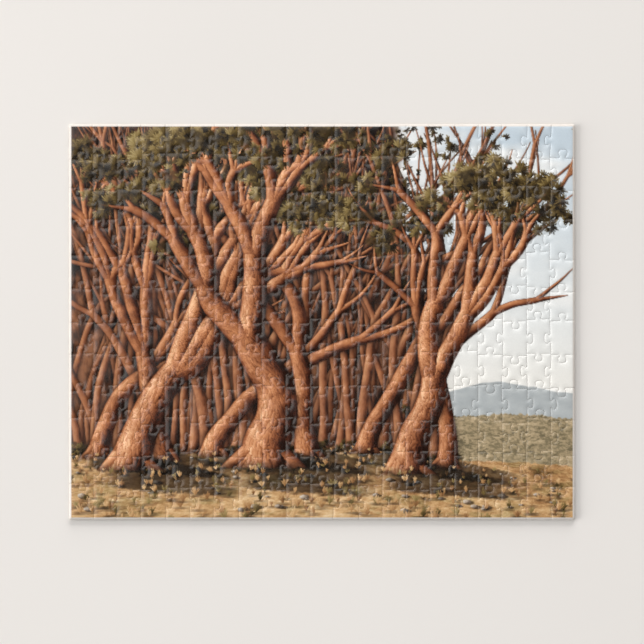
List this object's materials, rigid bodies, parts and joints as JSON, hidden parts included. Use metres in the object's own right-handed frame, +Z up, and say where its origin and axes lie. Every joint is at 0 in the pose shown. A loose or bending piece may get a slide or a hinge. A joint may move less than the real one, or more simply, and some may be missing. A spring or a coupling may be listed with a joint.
{
  "type": "jigsaw puzzle",
  "caption": "Finished cardboard jigsaw puzzle lying flat, a thin rectangular board of interlocking knobbed pieces with a printed woodland picture.",
  "frame": {"origin": "under the middle of the board, on the surface that it lies on", "axes": "+X to the right along the board's long side, +Y to the top of the picture, +Z up out of the printed side"},
  "size_m": [0.3556, 0.278, 0.002],
  "materials": {
    "printed_board": "satin"
  },
  "bodies": {
    "root": {"block_r1_c1": "printed_board", "block_r1_c2": "printed_board", "block_r1_c3": "printed_board", "block_r1_c4": "printed_board", "block_r1_c5": "printed_board", "block_r1_c6": "printed_board", "block_r1_c7": "printed_board", "block_r2_c1": "printed_board", "block_r2_c2": "printed_board", "block_r2_c3": "printed_board", "block_r2_c4": "printed_board", "block_r2_c5": "printed_board", "block_r2_c6": "printed_board", "block_r2_c7": "printed_board", "block_r3_c1": "printed_board", "block_r3_c2": "printed_board", "block_r3_c3": "printed_board", "block_r3_c4": "printed_board", "block_r3_c5": "printed_board", "block_r3_c6": "printed_board", "block_r3_c7": "printed_board", "block_r4_c1": "printed_board", "block_r4_c2": "printed_board", "block_r4_c3": "printed_board", "block_r4_c4": "printed_board", "block_r4_c5": "printed_board", "block_r4_c6": "printed_board", "block_r4_c7": "printed_board", "block_r5_c1": "printed_board", "block_r5_c2": "printed_board", "block_r5_c3": "printed_board", "block_r5_c4": "printed_board", "block_r5_c5": "printed_board", "block_r5_c6": "printed_board", "block_r5_c7": "printed_board", "block_r6_c1": "printed_board", "block_r6_c2": "printed_board", "block_r6_c3": "printed_board", "block_r6_c4": "printed_board", "block_r6_c5": "printed_board", "block_r6_c6": "printed_board", "block_r6_c7": "printed_board"}
  },
  "joints": []
}
